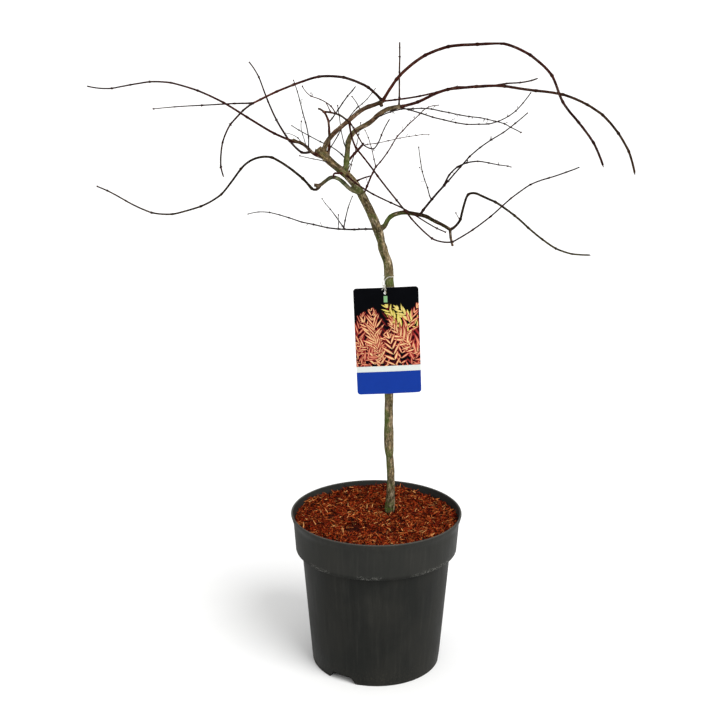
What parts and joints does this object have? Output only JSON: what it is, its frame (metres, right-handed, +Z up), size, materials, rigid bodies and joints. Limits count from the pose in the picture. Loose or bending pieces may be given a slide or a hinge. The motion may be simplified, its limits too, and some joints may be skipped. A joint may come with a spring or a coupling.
{
  "type": "potted japanese maple",
  "caption": "Leafless weeping maple with long arching whips, in a round plastic nursery pot of bark mulch, with a hang tag on its trunk.",
  "frame": {"origin": "centre of the pot's flat underside", "axes": "+Z up along the pot's axis, X along the crown's widest spread, -Y towards the side the tag faces"},
  "size_m": [1.0399, 0.7215, 1.1763],
  "materials": {
    "pot_plastic": "dark grey injection moulded polypropylene, faintly streaked, with pale scuffs",
    "potting_mix": "reddish brown shredded bark and coco fibre mulch",
    "trunk_bark": "smooth grey green bark with brown patches and pale lenticels",
    "bough_bark": "olive to brown bark with darker nodes",
    "whip_bark": "smooth dark maroon young bark with bud pairs",
    "twigs": "thin dark purple brown twigs",
    "tag_plastic": null,
    "string": "thin clear white plastic string"
  },
  "bodies": {
    "root": {"bough_back": "bough_bark", "bough_crest": "bough_bark", "bough_crest_arm": "bough_bark", "bough_front": "bough_bark", "bough_left_high": "bough_bark", "bough_left_low": "bough_bark", "bough_right": "bough_bark", "pot": "pot_plastic", "potting_mix": "potting_mix", "tag": "tag_plastic", "tag_string": "string", "trunk": "trunk_bark", "twigs_back_left": "twigs", "twigs_back_right": "twigs", "twigs_back_short": "twigs", "twigs_bough_top": "twigs", "twigs_crest_back": "twigs", "twigs_crest_left": "twigs", "twigs_fan": "twigs", "twigs_fork": "twigs", "twigs_front_right": "twigs", "twigs_head_left": "twigs", "twigs_head_right": "twigs", "twigs_hook": "twigs", "twigs_inner_tall": "twigs", "twigs_left_short": "twigs", "twigs_left_spread": "twigs", "twigs_left_tall": "twigs", "twigs_low_left": "twigs", "twigs_short_inner": "twigs", "twigs_snag": "twigs", "whip_back_right": "whip_bark", "whip_dipping": "whip_bark", "whip_far_left_1": "whip_bark", "whip_far_left_2": "whip_bark", "whip_front_left_1": "whip_bark", "whip_front_left_2": "whip_bark", "whip_front_left_drop": "whip_bark", "whip_front_left_far": "whip_bark", "whip_high_right_1": "whip_bark", "whip_high_right_2": "whip_bark", "whip_high_right_3": "whip_bark", "whip_hook": "whip_bark", "whip_inner_right": "whip_bark", "whip_low_left_1": "whip_bark", "whip_low_left_2": "whip_bark", "whip_low_left_3": "whip_bark", "whip_low_right_1": "whip_bark", "whip_low_right_2": "whip_bark", "whip_rising_left": "whip_bark", "whip_sagging_1": "whip_bark", "whip_sagging_2": "whip_bark", "whip_sagging_3": "whip_bark", "whip_upright": "whip_bark", "whip_wide_right_1": "whip_bark", "whip_wide_right_2": "whip_bark", "whip_wide_right_3": "whip_bark"}
  },
  "joints": []
}
